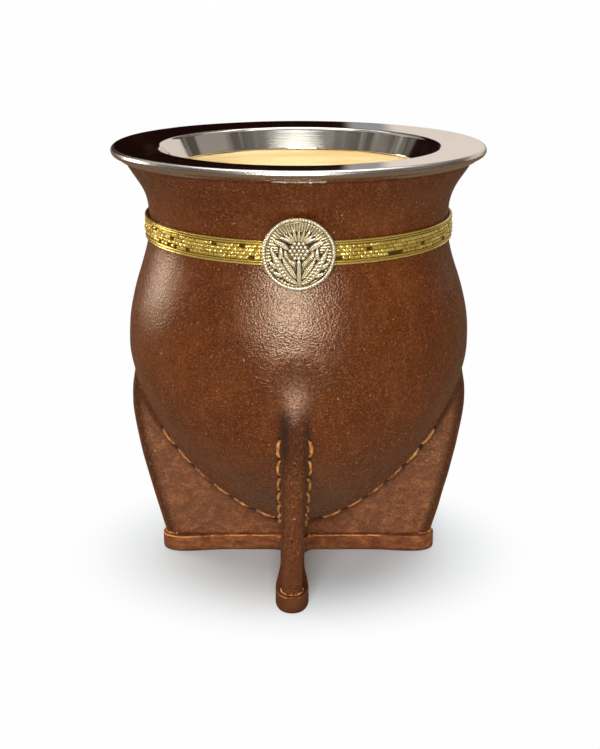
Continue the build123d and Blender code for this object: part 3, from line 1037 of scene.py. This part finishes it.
def thread_piece(name, paths, finish, radius, *nodes):
    """Join twisted rods, each along its own few points, as one piece."""
    bm = bmesh.new()
    rng = random.Random(len(paths))
    for path in paths:
        path = [Vector(place) for place in path]
        rod = bmesh.ops.create_uvsphere(bm, u_segments=12, v_segments=18, radius=1)["verts"]
        phase = rng.random() * full_turn
        thick = radius * (0.85 + 0.3 * rng.random())
        whole = path[-1] - path[0]
        for vert in rod:
            share = (vert.co.z + 1) / 2
            along = share * (len(path) - 1)
            number = min(int(along), len(path) - 2)
            spot = path[number].lerp(path[number + 1], along - number)
            side = whole.orthogonal().normalized()
            other = whole.cross(side).normalized()
            turn = np.arctan2(vert.co.y, vert.co.x)
            ply = 1 + 0.16 * cos(2 * turn - whole.length / (0.42 * mm) * share + phase)
            swell = min(1.0, hypot(vert.co.x, vert.co.y) * 1.6) * thick * ply
            vert.co = spot + (side * cos(turn) + other * sin(turn)) * swell
    bmesh.ops.recalc_face_normals(bm, faces=bm.faces)
    return show(to_mesh(name, bm), finish, "waxed_thread", *nodes)


def seam_threads(finish):
    """Every stitch bows a little off the leather and dives into its two holes."""
    rng = random.Random(5)
    for name in fins:
        paths = []
        for side in (-1, 1):
            ends = seam_points(name, side)
            for low, high in zip(ends[0::2], ends[1::2]):
                shares = (-0.03, 0.08, 0.3, 0.5, 0.7, 0.92, 1.03)
                lifts = (-0.40, 0.06, 0.32, 0.38, 0.32, 0.06, -0.40)
                sway = 0.35 * mm * (rng.random() - 0.5)
                spots = [low + (high - low) * share + np.array((0, 0, sway * sin(pi * max(share, 0))))
                         for share in shares]
                flat = onto_cover(spots)
                up = slope_of(cover_distance, flat)
                paths.append([spot + normal * lift * mm for spot, normal, lift in zip(flat, up, lifts)])
        thread_piece("stitches_" + name, paths, finish, thread_radius, "seam_thread_" + name)


def foot_stitches(finish):
    """Tiny stitches that hold each fin's foot to the sole."""
    rng = random.Random(9)
    paths = []
    for name in fins:
        angle, shift, _, _ = fins[name]
        turn = Matrix.Rotation(radians(angle), 3, "Z")
        half = fin_foot_thickness / 2
        centre = foot_reach - half
        for number in range(13):
            swing = radians(-100 + 200 * number / 12 + rng.uniform(-3, 3))
            spots = []
            for step, level in ((-1, 0.1), (0, 0.45), (1, 0.1)):
                at = swing + step * 0.14
                reach = half + 0.22 * mm
                x, y = centre + reach * cos(at), shift + reach * sin(at)
                spots.append(turn @ Vector((x, y, sole_top + level * mm)))
            paths.append(spots)
    return thread_piece("foot_stitches", paths, finish, 0.2 * mm)


def glue_beads(finish):
    """A few set drops of glue where the front fin meets the sole."""
    bm = bmesh.new()
    for x, y, size in ((-5.6, -4.6, 1.0), (-4.9, -4.2, 0.6), (3.2, -4.0, 0.7), (4.6, -3.7, 0.45)):
        drop = bmesh.ops.create_icosphere(bm, subdivisions=3, radius=size * mm)["verts"]
        for vert in drop:
            vert.co.z *= 0.5
            lump = 0.2 * mm * noise.noise(vert.co / (0.6 * mm))
            vert.co += Vector((x * mm + lump, y * mm, sole_top + 0.1 * mm))
    return show(to_mesh("glue_beads", bm), finish, "waxed_thread")


# ---------------------------------------------------------------- stage

def reflected(mesh, finish):
    """Put something in the stage that only reflections see."""
    card = placed(mesh.name, mesh)
    mesh.materials.append(finish)
    card.visible_camera = False
    card.visible_diffuse = False
    card.visible_shadow = False


def flat_card(name, centre, across, upward, finish):
    """A flat card seen only in reflections."""
    bm = bmesh.new()
    bmesh.ops.create_grid(bm, x_segments=1, y_segments=1, size=1)
    for vert in bm.verts:
        vert.co = Vector(centre) + Vector(across) * vert.co.x + Vector(upward) * vert.co.y
    reflected(to_mesh(name, bm), finish)


def card_finish(name, colour, strength=1.0):
    """An even glow of one colour, for a card that only reflections see."""
    return Finish(name).glow(colour, strength)


def back_wall_finish():
    """A wall for reflections: dark brown on the left, grey in a narrow strip, pale on the right."""
    f = Finish("back_wall")
    across = f.axis("X") + 0.014 * f.noise(5, 2) - 0.007
    dark = f.mix(f.noise(14, 3, 0.6).between(0.5, 0.75), (0.011, 0.0035, 0.0025), (0.050, 0.022, 0.014))
    middle = f.mix(across.between(0.043, 0.058), dark, (0.34, 0.325, 0.32))
    colour = f.mix(across.between(0.084, 0.102), middle, (0.82, 0.72, 0.64))
    return f.glow(colour)


def room():
    """A dim round room that only reflections see."""
    bm = bmesh.new()
    bmesh.ops.create_uvsphere(bm, u_segments=48, v_segments=24, radius=3.0)
    bmesh.ops.bisect_plane(bm, geom=bm.verts[:] + bm.edges[:] + bm.faces[:], dist=1e-6,
                           plane_co=(0, 0, 0.01), plane_no=(0, 0, -1), clear_outer=True)
    f = Finish("dim_room")
    walls = f.mix(f.axis("Z").between(0.2, 2.0), (0.050, 0.039, 0.031), (0.12, 0.105, 0.09))
    things = f.noise(2.6, 3, 0.6, distortion=1.0).between(0.50, 0.60) * f.axis("Z").between(0.9, 1.3)
    walls = f.mix(things * 0.8, walls, (0.38, 0.34, 0.28))
    colour = f.mix(f.axis("Z").between(1.9, 2.7), walls, (0.50, 0.48, 0.45))
    reflected(to_mesh("room", bm), f.glow(colour))


def floor_finish():
    """White table that keeps its shadow and fades into the backdrop."""
    f = Finish("white_table")
    x, y = f.axis("X"), f.axis("Y")
    away = (x * x * 0.62 + y * y) ** 0.5
    diffuse = f.add("ShaderNodeBsdfDiffuse", {}, {"Color": (0.76, 0.81, 0.845)})
    glow = f.add("ShaderNodeEmission", {}, {"Color": (1, 1, 1), "Strength": 0.99})
    seen = f.add("ShaderNodeLightPath", {}, {}, "Is Camera Ray")
    share = away.between(0.018, 0.056) * seen
    return f.end(f.add("ShaderNodeMixShader", {}, {0: share, 1: diffuse, 2: glow}))


def studio_world():
    """Even fill light that is seen, and reflected, as a white backdrop."""
    f = Finish("studio", bpy.data.worlds)
    seen = [f.add("ShaderNodeLightPath", {}, {}, ray) for ray in (
        "Is Camera Ray", "Is Glossy Ray", "Is Transmission Ray")]
    fill = 0.32
    strength = fill + (1 - fill) * (seen[0] + seen[1] + seen[2]).clipped()
    return f.end(f.add("ShaderNodeBackground", {}, {"Color": (1, 1, 1), "Strength": strength}),
                 "ShaderNodeOutputWorld")


def stage():
    """Table, cards, lamps, backdrop and camera."""
    bm = bmesh.new()
    bmesh.ops.create_circle(bm, cap_ends=True, segments=64, radius=6)
    table = placed("table", to_mesh("table", bm))
    table.data.materials.append(floor_finish())
    room()
    warm = card_finish("warm_table", (0.19, 0.125, 0.08))
    flat_card("card_table", (0, 0, 0.0003), (3, 0, 0), (0, 3, 0), warm)
    flat_card("card_back_wall", (0.0, 1.0, 0.42), (1.6, 0, 0), (0, 0, 0.25), back_wall_finish())
    pale = card_finish("pale_card", (0.50, 0.47, 0.42))
    bright = card_finish("bright_card", (1.0, 0.97, 0.90), 1.7)
    flat_card("card_high_front", (0.02, -1.0, 0.98), (0.55, 0, 0), (0, 0.05, 0.17), bright)
    flat_card("card_high_left", (-0.9, 0.75, 1.1), (0.3, 0.35, 0), (0, 0, 0.35), pale)
    dim = card_finish("dim_card", (0.35, 0.32, 0.28))
    flat_card("card_high_right", (1.0, 0.10, 0.9), (0.05, 0.25, 0), (0, 0, 0.3), dim)

    lamp_target = Vector((0, 0, 0.07))
    for name, place, size, radiance, colour in (
        ("front_lamp", (-0.08, -1.00, 0.46), (0.54, 0.26), 20.5, (1.0, 0.97, 0.93)),
        ("left_lamp", (-0.95, 0.42, 0.28), (0.24, 0.34), 12.5, (1.0, 0.87, 0.72)),
        ("top_lamp", (0.0, 0.28, 1.40), (1.3, 1.1), 1.9, (1.0, 1.0, 1.0)),
    ):
        light = bpy.data.lights.new(name, "AREA")
        light.shape = "RECTANGLE"
        light.color = colour
        light.size, light.size_y = size
        light.energy = radiance * pi * size[0] * size[1]
        lamp = placed(name, light)
        lamp.location = place
        aim = lamp_target - Vector(place)
        lamp.rotation_euler = aim.to_track_quat("-Z", "Y").to_euler()

    bpy.context.scene.world = studio_world()
    lens = bpy.data.cameras.new("camera")
    lens.sensor_width = 36
    lens.lens = 55.26
    lens.shift_x = 0.002
    camera = placed("camera", lens)
    camera.location = (0, -0.3121, 0.1613)
    looks_down = 18.9
    camera.rotation_euler = (radians(90 - looks_down), 0, 0)
    bpy.context.scene.camera = camera
    bpy.context.scene.view_settings.view_transform = "Standard"


leather_cover(leather_finish())
gourd_shell(gourd_finish())
rim(steel_finish())
gilt_band(gilt_finish())
medallion(pale_gilt_finish())
sole(sole_finish())
thread = thread_finish()
seam_threads(thread)
foot_stitches(thread)
glue_beads(glue_finish())
stage()
